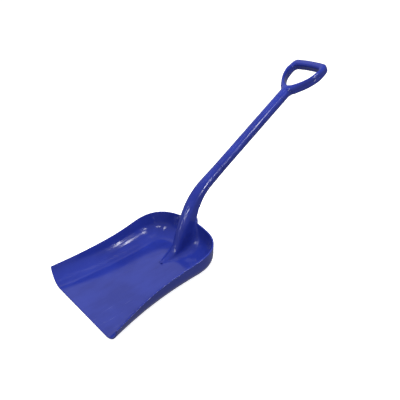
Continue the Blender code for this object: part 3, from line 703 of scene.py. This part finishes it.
@dataclass
class Ridge:
    """The neck's front half, and the ridge in which it runs down the back wall and out on the floor.

    It is a round-topped section over a base line, with a fillet at its foot.
    """

    pan: Pan
    line: HandleLine
    length: float = 0.117
    tip_radius: float = 0.016
    fillet: float = 0.028
    end_fillet: float = 0.006
    least_fillet: float = 0.01 * MILLIMETRE
    landing: float = math.radians(14.0)
    fullness: float = 0.58
    level: float = 0.47
    web_length: float = 0.016
    skirt_length: float = 0.120
    foot_fade: float = 0.60
    tip_crowding: float = 1.35
    lip_crowding: float = 1.15
    columns: int = 40
    foot_step: float = 0.01
    neck_rows: int = 90

    def __post_init__(self) -> None:
        """Works out the base and top lines and where the neck passes the lip."""
        pan, line = self.pan, self.line
        tip_y = pan.length - self.length
        wall = pan.side(np.ones(len(pan.wall_v)), pan.wall_v)[:, 1:]
        turn = np.linspace(0, 1, pan.floor_rows + 1)[:-1] ** self.tip_crowding
        floor = np.column_stack([tip_y + (wall[0, 0] - tip_y) * turn, np.zeros(pan.floor_rows)])
        base = np.vstack([floor, wall]) + pan.at_origin(np.zeros(3))[1:]
        heading = np.array([math.cos(line.neck_angle), math.sin(line.neck_angle)])
        self.lip_station = float((base[-1] - [line.neck_y, line.neck_z]) @ heading)
        top_end = line.place(0.0, self.lip_station, line.radius(self.lip_station))[1:]
        span = np.linalg.norm(top_end - base[0])
        level = np.array([math.cos(self.landing), math.sin(self.landing)]) * span * self.level
        down = heading * span * self.fullness
        top = bezier(np.linspace(0, 1, 1200), [base[0], base[0] + level, top_end - down, top_end])
        reach = reach_along(base)
        self.along = reach / reach[-1]
        self.base, self.top = base, at_shares(top, self.along)
        self.depth_at_lip = np.linalg.norm(self.top[-1] - base[-1]) - line.radius(self.lip_station)
        rise = np.linspace(0, 1, self.neck_rows + 1)[1:] ** self.lip_crowding
        self.stations = self.lip_station + (line.seam - line.gap / 2 - self.lip_station) * rise

    def half_section(
        self, height: np.ndarray, radius: np.ndarray, fillet: np.ndarray, share: np.ndarray
    ) -> tuple[np.ndarray, np.ndarray, np.ndarray]:
        """Draws half a section: a fillet from the base into a straight wall, then a round top.

        Where the ridge is low, the fillet runs straight into the round top.

        Args:
            height: Height of the section's top over its base.
            radius: Radius of the round top.
            fillet: Radius of the fillet.
            share: 0 at the foot and 1 at the top, by length.

        Returns:
            x, the height over the base, and x at the foot.
        """
        height, radius, fillet, share = np.broadcast_arrays(height, radius, fillet, share)
        centre = height - radius
        tall = centre >= fillet
        reach = radius + fillet
        low = np.sqrt(np.maximum(reach**2 - (fillet - centre) ** 2, 0))
        foot = np.where(tall, reach, low)
        lean = np.where(tall, 0.0, np.arctan2(fillet - centre, np.maximum(low, LEAST_LENGTH)))
        bottom = fillet * (math.pi / 2 - lean)
        wall = np.where(tall, centre - fillet, 0.0)
        run = share * (bottom + wall + radius * (math.pi / 2 - lean))
        a = np.minimum(run, bottom) / np.maximum(fillet, LEAST_LENGTH)
        b = lean + np.maximum(run - bottom - wall, 0) / radius
        on_fillet, on_top = run < bottom, run > bottom + wall
        parts = [on_fillet, on_top]
        x = np.select(parts, [foot - fillet * np.sin(a), radius * np.cos(b)], radius)
        rise = fillet + np.clip(run - bottom, 0, wall)
        h = np.select(parts, [fillet - fillet * np.cos(a), centre + radius * np.sin(b)], rise)
        return x, h, foot

    def base_radius(self) -> np.ndarray:
        """Gives the round top's radius at each section below the lip."""
        change = self.line.radius(self.lip_station) - self.tip_radius
        return self.tip_radius + change * smooth(self.along)

    def base_fillet(self) -> np.ndarray:
        """Gives the foot's fillet at each section below the lip: it swells between the tip and the lip."""
        return self.end_fillet + (self.fillet - self.end_fillet) * 4 * self.along * (1 - self.along)

    def skirt(self, s: np.ndarray) -> np.ndarray:
        """Gives how far the neck's side walls reach below its centre line, which runs out past the lip."""
        return self.depth_at_lip * (1 - smooth((s - self.lip_station) / self.skirt_length))

    def grid(self) -> tuple[np.ndarray, np.ndarray, np.ndarray]:
        """Builds the right half of the ridge and neck.

        Returns:
            Points by row from the tip to the seam and column from foot to top, the foot's
            points up to the lip, and their shares of the pan's outline.
        """
        pan, line = self.pan, self.line
        share = np.r_[0, np.linspace(self.foot_step, 1, self.columns)][None, :]
        height = np.linalg.norm(self.top - self.base, axis=1)[:, None]
        radius, fillet = self.base_radius()[:, None], self.base_fillet()[:, None]
        x, h, foot = self.half_section(height, radius, fillet, share)
        up = (self.top - self.base) / np.maximum(height, LEAST_LENGTH)
        points = np.concatenate([x[..., None], self.base[:, None] + h[..., None] * up[:, None]], axis=-1)
        points[0] = 0.0, *self.base[0]
        feet = points[:, 0].copy()
        q_foot = np.ones(len(self.base))
        for row, v in enumerate(pan.wall_v, start=pan.floor_rows):
            q_foot[row] = pan.q_at_width(foot[row, 0], v)
        on_wall = slice(pan.floor_rows, None)
        feet[on_wall] = pan.at_origin(pan.side(q_foot[on_wall], pan.wall_v))
        fade = 1 - smooth(share / self.foot_fade)
        points += (feet - points[:, 0])[:, None, :] * fade[..., None]
        s, least = self.stations[:, None], self.least_fillet
        skirt, radius = self.skirt(s), line.radius(s)
        fillet = self.end_fillet * (1 - smooth((s - self.lip_station) / self.web_length)) + least
        x, h, _ = self.half_section(skirt + radius, radius, np.minimum(fillet, skirt + least), share)
        return np.concatenate([points, line.place(x, s, h - skirt)]), feet, q_foot


@dataclass
class Blade:
    """The blade: pan, ridge and the front half of the neck, moulded as one wall."""

    ridge: Ridge
    finish: bpy.types.Material
    lip_crown: float = 1.0 * MILLIMETRE
    seam_crown: float = 0.35 * MILLIMETRE
    crown_change: float = 0.006
    neck_half_width: float = 0.05

    def build(self) -> bpy.types.Object:
        """Moulds the wall from the welded skin, with a rounder edge on the pan than at the seams."""
        ridge, feet, q_foot = self.ridge.grid()
        pan = self.ridge.pan.grid(feet, q_foot)
        skin = Skin.welded(mirrored([pan, ridge[::-1]]))
        above = skin.points[:, 2] - feet[-1, 2]
        behind = skin.points[:, 1] - feet[-1, 1]
        near = np.abs(skin.points[:, 0]) < self.neck_half_width
        at_neck = smooth(np.maximum(above, behind) / self.crown_change) * near
        crown = self.lip_crown + (self.seam_crown - self.lip_crown) * at_neck
        piece = skin.moulded(self.ridge.pan.wall, crown).piece("blade_moulding")
        return dress(piece, self.finish, "blue_gloss", "blade")


@dataclass
class NeckCover:
    """Rear shell of the neck, which closes the hollow behind the ridge and runs out under the pan."""

    ridge: Ridge
    finish: bpy.types.Material
    wall: float = 0.0030
    edge: float = 0.0015
    thinnest: float = 0.0006
    widens: float = 0.034
    narrows: float = 0.020
    start_height: float = 0.012
    crown: float = 0.5 * MILLIMETRE
    columns: int = 56

    def grid(self) -> tuple[np.ndarray, np.ndarray]:
        """Lays a flat plate under the pan that turns into a half round along the neck.

        The plate thins towards its edges, where the ridge's fillet comes down to it.

        Returns:
            Points by row from under the pan to the seam, and column from the right edge to
            the left, and the wall's thickness at each.
        """
        ridge, line = self.ridge, self.ridge.line
        height = np.linalg.norm(ridge.top - ridge.base, axis=1)
        first = int(np.argmax(height > self.start_height))
        foot = ridge.half_section(height, ridge.base_radius(), ridge.base_fillet(), 0.0)[2][first:, None]
        run = np.gradient(ridge.base, axis=0)[first:]
        run /= np.linalg.norm(run, axis=1)[:, None]
        out = np.column_stack([run[:, 1], -run[:, 0]])
        turn = np.linspace(0, math.pi, self.columns + 1)[None, :]
        wall, gap = ridge.pan.wall, line.gap
        inside = line.radius(ridge.lip_station) - wall - 2 * gap
        to_lip = reach_along(ridge.base[first:])
        near_lip = smooth((to_lip - to_lip[-1]) / self.narrows + 1)[:, None]
        fillet, rise = ridge.base_fillet()[first:, None], 2 * gap
        wide = foot - self.edge - np.sqrt(rise * (2 * fillet - rise))
        x = (wide * (1 - near_lip) + inside * near_lip) * np.cos(turn)
        off_foot = np.clip(foot - np.abs(x), 0, fillet)
        room = fillet - np.sqrt(np.maximum(fillet**2 - off_foot**2, 0)) - rise
        room = room * (1 - near_lip) + self.wall * near_lip
        flat = np.broadcast_to((ridge.base[first:] + out * wall)[:, None], x.shape + (2,))
        plate = np.concatenate([x[..., None], flat], axis=-1)
        s = ridge.stations[:, None]
        skirt, radius = ridge.skirt(s), line.radius(s)
        inset = (wall + 2 * gap) * (1 - smooth((s - ridge.lip_station - self.widens) / ridge.web_length))
        h = -skirt - gap - (radius - skirt) * np.sin(turn)
        neck = line.place((radius - inset) * np.cos(turn), s, h)
        room = np.clip(room, self.thinnest, self.wall)
        walls = np.concatenate([room, np.full(neck.shape[:2], self.wall)])
        return np.concatenate([plate, neck]), walls

    def build(self) -> bpy.types.Object:
        """Moulds the cover's wall."""
        grid, wall = self.grid()
        skin = Skin.welded([grid])
        piece = skin.moulded(wall.ravel()[skin.origin], self.crown).piece("neck_cover_moulding")
        return dress(piece, self.finish, "blue_gloss", "neck_rear_cover")


@dataclass
class Shaft:
    """The shaft's tube: two half shells welded along its sides."""

    line: HandleLine
    finish: bpy.types.Material
    wall: float = 0.0035
    crown: float = 0.3 * MILLIMETRE
    rows: int = 120
    columns: int = 48

    def build(self, half: Half) -> bpy.types.Object:
        """Sweeps half a circle along the shaft and moulds its wall.

        Args:
            half: The side of the handle.

        Returns:
            The shell.
        """
        line, gap = self.line, self.line.gap
        ends = line.seam + gap / 2, line.shaft_end - line.grip_stub - gap / 2
        s = np.linspace(*ends, self.rows + 1)[:, None]
        turn = np.linspace(0, math.pi, self.columns + 1)[None, :]
        radius = line.radius(s)
        h = half.value * (radius * np.sin(turn) + gap / 2)
        grid = line.place(radius * np.cos(turn), s, h)
        skin = Skin.welded([grid[::-1] if half is Half.FRONT else grid])
        piece = skin.moulded(self.wall, self.crown).piece(f"shaft_{half.name.lower()}_moulding")
        return dress(piece, self.finish, "blue_gloss", f"shaft_{half.name.lower()}_shell")


# ================================================================ grip


@dataclass
class Grip:
    """The hollow D-grip: two half shells that meet in the plane of the hand hole."""

    line: HandleLine
    finish: bpy.types.Material
    wall: float = 0.0032
    yoke_flare: float = 0.0095
    yoke_rise: float = 0.0092
    arm_pull: tuple[float, float] = (0.0354, 0.0227)
    arm_bulge: tuple[float, float] = (0.0718, 0.0619)
    half_width: float = 0.0658
    corner: float = 0.0157
    crossbar_width: float = 0.0236
    crossbar_bow: float = 0.0040
    crotch: float = 0.0185
    hole_pull: float = 0.0133
    hole_bulge: tuple[float, float] = (0.0563, 0.0456)
    hole_half_width: float = 0.0530
    hole_corner: float = 0.0096
    arm_width: float = 0.0196
    arm_half_depth: float = 0.0159
    crossbar_half_depth: float = 0.0135
    squareness: float = 2.9
    rise_share: float = 0.35
    bar_share: float = 0.60
    bar_turn: float = 0.25
    crown: float = 0.3 * MILLIMETRE
    columns: int = 150
    yoke_columns: int = 24
    yoke_share: float = 0.06
    rows: int = 44
    stub_rows: int = 12
    round_pull: float = 0.55

    def loop(self, side: list, half_width: float, top: float, corner: float) -> np.ndarray:
        """Draws a line out along the arm, round the corner and back along the crossbar to the middle.

        Args:
            side: The arm's first three Bezier points.
            half_width: Half width where the corner starts.
            top: Height of the crossbar's line at the corner.
            corner: Size of the corner.

        Returns:
            Points (x, l).
        """
        start, bulge = np.array([half_width, top - corner]), np.array(side[-1])
        x = np.linspace(half_width - corner, 0, 60)
        bar = np.column_stack([x, top + self.crossbar_bow * (1 - (x / half_width) ** 2)])
        ahead = (start - bulge) / np.linalg.norm(start - bulge)
        handles = [start + ahead * corner * self.round_pull, bar[0] + [corner * self.round_pull, 0.0]]
        turn = bezier(np.linspace(0, 1, 30)[1:-1], [start, *handles, bar[0]])
        return np.vstack([bezier(np.linspace(0, 1, 120), [*side, start]), turn, bar])

    def outlines(self) -> tuple[np.ndarray, np.ndarray]:
        """Draws the right halves of the grip's outer line and of its hand hole.

        Returns:
            Two lines of points (x, l), where l runs along the centre line from the shaft's end.
        """
        top, radius = self.line.grip_length, self.line.shaft_radius
        foot, pull = np.array([radius + self.yoke_flare, self.yoke_rise]), np.array(self.arm_pull)
        handle = foot - (pull - foot) / np.linalg.norm(pull - foot) * self.yoke_rise * self.round_pull
        flare = bezier(np.linspace(0, 1, 40)[:-1], [(radius, 0), (radius, self.yoke_rise / 2), handle, foot])
        outer = self.loop([foot, pull, self.arm_bulge], self.half_width, top, self.corner)
        side = [(0, self.crotch), (self.hole_pull, self.crotch), self.hole_bulge]
        inner = self.loop(side, self.hole_half_width, top - self.crossbar_width, self.hole_corner)
        return np.vstack([flare, outer]), inner

    def half_depth(self, points: np.ndarray, lines: list[np.ndarray]) -> np.ndarray:
        """Gives the grip's height over its middle plane.

        The height is a quarter of a squarish ellipse, read at the distance to the nearest
        outline as a share of half the local width.

        Args:
            points: Points (x, l) in the middle plane.
            lines: The outlines on both sides.

        Returns:
            The height at each point.
        """
        samples = np.concatenate([at_shares(line, np.linspace(0, 1, 500)) for line in lines])
        flat = points.reshape(-1, 2)
        away = np.linalg.norm(flat[:, None] - samples[None], axis=-1).min(axis=1).reshape(points.shape[:-1])
        radius, length = self.line.shaft_radius, self.line.grip_length
        rise = smooth(points[..., 1] / (self.rise_share * length))
        end = smooth((points[..., 1] - self.bar_share * length) / (self.bar_turn * length))
        depth = radius + (self.arm_half_depth - radius) * rise
        depth += (self.crossbar_half_depth - self.arm_half_depth) * end
        arm, bar = self.arm_width / 2, self.crossbar_width / 2
        width = radius + (arm - radius) * rise + (bar - arm) * end
        share = np.clip(away / width, 0, 1)
        return depth * np.maximum(1 - (1 - share) ** self.squareness, 0) ** (1 / self.squareness)

    def grids(self) -> list[np.ndarray]:
        """Builds the right half of the front skin as grids of (x, l, height): the loop and the stub.

        Returns:
            A ladder between the hand hole and the outer line, and the stub below the yoke.
        """
        outer, inner = self.outlines()
        radius, stub_length = self.line.shaft_radius, self.line.grip_stub
        side = np.vstack([[radius, -stub_length], outer])
        mirror = np.array([-1.0, 1.0])
        yoke = self.yoke_columns
        turn = np.linspace(0, math.pi / 2, yoke + 1)
        base = np.column_stack([radius * np.sin(turn), np.zeros(yoke + 1)])
        rest = at_shares(outer, np.linspace(0, 1, self.columns - yoke + 1))
        outer_line = np.vstack([base[:-1], rest])
        bend = np.linspace(0, 1, self.columns + 1)
        shares = np.interp(bend, [0, yoke / self.columns, 1], [0, self.yoke_share, 1])
        inner_line = at_shares(inner, shares)
        across = ((1 - np.cos(math.pi * np.linspace(0, 1, self.rows + 1))) / 2)[None, :, None]
        plane = inner_line[:, None] * (1 - across) + outer_line[:, None] * across
        height = self.half_depth(plane, [side, side * mirror, inner, inner * mirror])
        height[:, 0] = 0.0
        height[yoke:, -1] = 0.0
        height[: yoke + 1, -1] = radius * np.cos(turn)
        ladder = np.concatenate([plane, height[..., None]], axis=-1)
        drop = np.linspace(0, stub_length - self.line.gap / 2, self.stub_rows + 1)[None, :]
        foot = ladder[: yoke + 1, -1]
        stub = np.repeat(foot[:, None], self.stub_rows + 1, axis=1)
        stub[..., 1] -= drop
        return [ladder, stub]

    def build(self, half: Half) -> bpy.types.Object:
        """Places one half's skin on the centre line and moulds its wall.

        Args:
            half: The side of the handle.

        Returns:
            The shell.
        """
        line, side = self.line, half.value
        skins = []
        for grid in self.grids():
            h = side * (grid[..., 2] + line.gap / 2)
            placed = line.place(grid[..., 0], line.shaft_end + grid[..., 1], h)
            skins.append(placed if half is Half.FRONT else placed[::-1])
        skin = Skin.welded(mirrored(skins))
        piece = skin.moulded(self.wall, self.crown).piece(f"grip_{half.name.lower()}_moulding")
        return dress(piece, self.finish, "blue_gloss", f"grip_{half.name.lower()}_shell")


# ================================================================ studio


@dataclass(frozen=True)
class SoftBox:
    """A rectangular soft light that faces the aim.

    Attributes:
        name: Name of the light.
        azimuth: Direction from the aim in degrees, from +X towards +Y.
        elevation: Height over the horizon in degrees.
        distance: Distance from the aim in metres.
        size: Width and height in metres.
        power: Power in watts.
        glossy: Whether gloss mirrors the light.
    """

    name: str
    azimuth: float
    elevation: float
    distance: float
    size: tuple[float, float]
    power: float
    glossy: bool = True

    def build(self, aim: Vector) -> bpy.types.Object:
        """Hangs the light.

        Args:
            aim: The point that it faces.

        Returns:
            The light.
        """
        data = bpy.data.lights.new(self.name, "AREA")
        data.shape = "RECTANGLE"
        data.size, data.size_y = self.size
        data.energy = self.power
        item = put(self.name, data)
        turn, rise = math.radians(self.azimuth), math.radians(self.elevation)
        away = Vector((math.cos(turn) * math.cos(rise), math.sin(turn) * math.cos(rise), math.sin(rise)))
        item.location = aim + away * self.distance
        item.rotation_euler = away.to_track_quat("Z", "Y").to_euler()
        item.visible_glossy = self.glossy
        return item


@dataclass
class Studio:
    """Camera, lights, floor and surroundings."""

    aim: tuple[float, float, float] = (0.0, 0.300, 0.084)
    azimuth: float = math.radians(57.166)
    elevation: float = math.radians(31.024)
    roll: float = math.radians(-10.985)
    distance: float = 1.5852
    lens: float = 49.63
    sensor: float = 36.0
    shift: tuple[float, float] = (-0.0276, 0.0200)
    floor_half_width: float = 30.0
    floor_colour: tuple[float, float, float] = (0.90, 0.90, 0.90)
    floor_roughness: float = 0.9
    floor_glow: float = 0.80
    sky: float = 0.30
    lights: tuple[SoftBox, ...] = (
        SoftBox("overhead_box", 0.0, 88.0, 2.2, (1.0, 1.0), 42.0, glossy=False),
        SoftBox("wall_strip", 18.0, 38.0, 2.0, (0.14, 0.50), 4.5),
        SoftBox("neck_strip", 9.0, 15.0, 2.0, (0.08, 0.70), 8.0),
        SoftBox("front_strip", -62.0, 27.0, 1.8, (0.60, 0.10), 4.0),
        SoftBox("ridge_strip", -94.0, 28.0, 1.8, (0.06, 0.70), 2.4),
        SoftBox("backdrop_box", 160.0, 36.0, 2.5, (2.0, 2.0), 4.5),
    )

    def back(self) -> Vector:
        """Gives the direction from the aim to the camera."""
        flat, rise = math.cos(self.elevation), math.sin(self.elevation)
        return Vector((math.sin(self.azimuth) * flat, -math.cos(self.azimuth) * flat, rise))

    def camera(self) -> bpy.types.Object:
        """Makes the camera: it looks at the aim from the azimuth and elevation, turned by the roll."""
        data = bpy.data.cameras.new("camera")
        data.sensor_width = self.sensor
        data.lens = self.lens
        data.shift_x, data.shift_y = self.shift
        data.clip_start, data.clip_end = 0.05, 100.0
        item = put("camera", data)
        back = self.back()
        right = Vector((math.cos(self.azimuth), math.sin(self.azimuth), 0.0))
        up = back.cross(right)
        turned = right * math.cos(self.roll) + up * math.sin(self.roll)
        upward = up * math.cos(self.roll) - right * math.sin(self.roll)
        item.matrix_world = Matrix((turned, upward, back)).transposed().to_4x4()
        item.location = Vector(self.aim) + back * self.distance
        bpy.context.scene.camera = item
        return item

    def floor(self) -> bpy.types.Object:
        """Lays a pale, matt, softly glowing floor at the height that the blade rests on."""
        w = self.floor_half_width
        mesh = bpy.data.meshes.new("floor")
        mesh.from_pydata([(-w, -w, 0), (w, -w, 0), (w, w, 0), (-w, w, 0)], [], [(0, 1, 2, 3)])
        item = put("floor", mesh)
        made = bpy.data.materials.new("pale_floor")
        made.use_nodes = True
        shader = made.node_tree.nodes["Principled BSDF"]
        shader.inputs["Base Color"].default_value = (*self.floor_colour, 1.0)
        shader.inputs["Roughness"].default_value = self.floor_roughness
        shader.inputs["Emission Color"].default_value = (1.0, 1.0, 1.0, 1.0)
        shader.inputs["Emission Strength"].default_value = self.floor_glow
        mesh.materials.append(made)
        item.visible_glossy = False
        item.visible_diffuse = False
        return item

    def surroundings(self) -> None:
        """Fills the room with even, neutral light."""
        world = bpy.data.worlds.new("room")
        world.use_nodes = True
        background = world.node_tree.nodes["Background"]
        background.inputs["Color"].default_value = (1.0, 1.0, 1.0, 1.0)
        background.inputs["Strength"].default_value = self.sky
        bpy.context.scene.world = world

    def build(self) -> None:
        """Sets up the room."""
        self.camera()
        self.floor()
        self.surroundings()
        for box in self.lights:
            box.build(Vector(self.aim))
        bpy.context.scene.view_settings.view_transform = "Standard"


# ================================================================ the shovel


def main() -> None:
    """Builds the mouldings in order round the frame, dresses the hidden spigots and sets up the room."""
    logging.basicConfig(level=logging.INFO, format="%(name)s %(message)s")
    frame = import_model()
    gloss, matt = BLUE_GLOSS.material(), BLUE_INNER.material()
    line = HandleLine()
    ridge = Ridge(Pan(), line)
    Blade(ridge, gloss).build()
    NeckCover(ridge, gloss).build()
    shaft, grip = Shaft(line, gloss), Grip(line, gloss)
    for half in Half:
        shaft.build(half)
        grip.build(half)
    for name in ("neck_spigot", "grip_spigot"):
        spigot = frame["nodes"][name]
        spigot.data.materials.clear()
        spigot.data.materials.append(matt)
        LOG.info("%s: kept from the frame", name)
    Studio().build()


if __name__ == "__main__":
    main()
